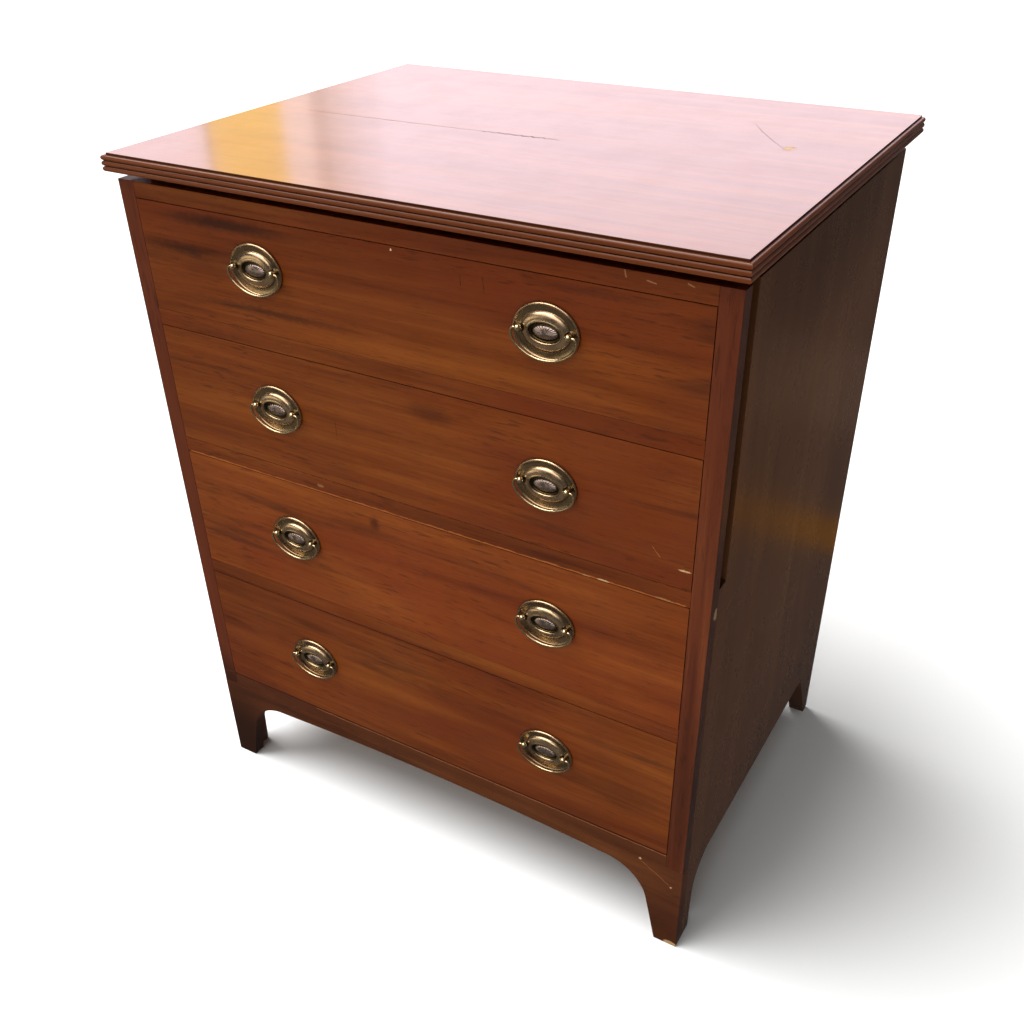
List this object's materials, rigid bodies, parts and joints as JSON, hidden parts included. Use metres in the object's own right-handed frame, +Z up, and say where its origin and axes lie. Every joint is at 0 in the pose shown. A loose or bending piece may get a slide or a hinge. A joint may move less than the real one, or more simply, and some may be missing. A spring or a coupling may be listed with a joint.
{
  "type": "chest of drawers",
  "caption": "Small mahogany bachelor's chest with graduated dovetailed drawers, oval brass bail handles, a reeded top and bracket feet.",
  "frame": {"origin": "on the floor, below the middle of the whole object's box", "axes": "+Z up, the drawers open towards -Y, +X to the right of someone facing the drawers"},
  "size_m": [0.663, 0.51, 0.7935],
  "materials": {
    "mahogany": "polished, aged reddish-brown mahogany",
    "oak": "bare aged oak drawer linings",
    "pine": "bare aged pine, dusty",
    "brass": "polished antique brass with dark recesses"
  },
  "bodies": {
    "carcass": {"top_board": "mahogany", "top_bearers": "pine", "left_side": "mahogany", "right_side": "mahogany", "left_facings": "mahogany", "right_facings": "mahogany", "top_front_rail": "mahogany", "top_back_rail": "pine", "upper_drawer_rail": "mahogany", "middle_drawer_rail": "mahogany", "lower_drawer_rail": "mahogany", "bottom_rail": "mahogany", "bottom_board": "pine", "apron": "mahogany", "foot_blocks": "pine", "back_boards": "pine", "drawer_runners": "pine", "drawer_kickers": "pine", "drawer_stops": "pine"},
    "drawer_1": {"drawer_1_front": "mahogany", "drawer_1_left_side": "oak", "drawer_1_right_side": "oak", "drawer_1_back": "oak", "drawer_1_bottom": "oak", "drawer_1_plates": "brass", "drawer_1_posts": "brass", "drawer_1_nuts": "brass"},
    "drawer_1_left_bail": {"drawer_1_left_bail": "brass"},
    "drawer_1_right_bail": {"drawer_1_right_bail": "brass"},
    "drawer_2": {"drawer_2_front": "mahogany", "drawer_2_left_side": "oak", "drawer_2_right_side": "oak", "drawer_2_back": "oak", "drawer_2_bottom": "oak", "drawer_2_plates": "brass", "drawer_2_posts": "brass", "drawer_2_nuts": "brass"},
    "drawer_2_left_bail": {"drawer_2_left_bail": "brass"},
    "drawer_2_right_bail": {"drawer_2_right_bail": "brass"},
    "drawer_3": {"drawer_3_front": "mahogany", "drawer_3_left_side": "oak", "drawer_3_right_side": "oak", "drawer_3_back": "oak", "drawer_3_bottom": "oak", "drawer_3_plates": "brass", "drawer_3_posts": "brass", "drawer_3_nuts": "brass"},
    "drawer_3_left_bail": {"drawer_3_left_bail": "brass"},
    "drawer_3_right_bail": {"drawer_3_right_bail": "brass"},
    "drawer_4": {"drawer_4_front": "mahogany", "drawer_4_left_side": "oak", "drawer_4_right_side": "oak", "drawer_4_back": "oak", "drawer_4_bottom": "oak", "drawer_4_plates": "brass", "drawer_4_posts": "brass", "drawer_4_nuts": "brass"},
    "drawer_4_left_bail": {"drawer_4_left_bail": "brass"},
    "drawer_4_right_bail": {"drawer_4_right_bail": "brass"}
  },
  "joints": [
    {"name": "drawer_1_slide", "type": "slide", "parent": "carcass", "child": "drawer_1", "axis": [0, -1, 0], "range_m": [0, 0.3]},
    {"name": "drawer_1_left_bail_swing", "type": "hinge", "parent": "drawer_1", "child": "drawer_1_left_bail", "pos_m": [-0.158, -0.2512, 0.70435], "axis": [-1, 0, 0], "range_deg": [-4, 184]},
    {"name": "drawer_1_right_bail_swing", "type": "hinge", "parent": "drawer_1", "child": "drawer_1_right_bail", "pos_m": [0.158, -0.2512, 0.70435], "axis": [-1, 0, 0], "range_deg": [-4, 184]},
    {"name": "drawer_2_slide", "type": "slide", "parent": "carcass", "child": "drawer_2", "axis": [0, -1, 0], "range_m": [0, 0.3]},
    {"name": "drawer_2_left_bail_swing", "type": "hinge", "parent": "drawer_2", "child": "drawer_2_left_bail", "pos_m": [-0.158, -0.2512, 0.55785], "axis": [-1, 0, 0], "range_deg": [-4, 184]},
    {"name": "drawer_2_right_bail_swing", "type": "hinge", "parent": "drawer_2", "child": "drawer_2_right_bail", "pos_m": [0.158, -0.2512, 0.55785], "axis": [-1, 0, 0], "range_deg": [-4, 184]},
    {"name": "drawer_3_slide", "type": "slide", "parent": "carcass", "child": "drawer_3", "axis": [0, -1, 0], "range_m": [0, 0.3]},
    {"name": "drawer_3_left_bail_swing", "type": "hinge", "parent": "drawer_3", "child": "drawer_3_left_bail", "pos_m": [-0.158, -0.2512, 0.40035], "axis": [-1, 0, 0], "range_deg": [-4, 184]},
    {"name": "drawer_3_right_bail_swing", "type": "hinge", "parent": "drawer_3", "child": "drawer_3_right_bail", "pos_m": [0.158, -0.2512, 0.40035], "axis": [-1, 0, 0], "range_deg": [-4, 184]},
    {"name": "drawer_4_slide", "type": "slide", "parent": "carcass", "child": "drawer_4", "axis": [0, -1, 0], "range_m": [0, 0.3]},
    {"name": "drawer_4_left_bail_swing", "type": "hinge", "parent": "drawer_4", "child": "drawer_4_left_bail", "pos_m": [-0.158, -0.2512, 0.22735], "axis": [-1, 0, 0], "range_deg": [-4, 184]},
    {"name": "drawer_4_right_bail_swing", "type": "hinge", "parent": "drawer_4", "child": "drawer_4_right_bail", "pos_m": [0.158, -0.2512, 0.22735], "axis": [-1, 0, 0], "range_deg": [-4, 184]}
  ]
}
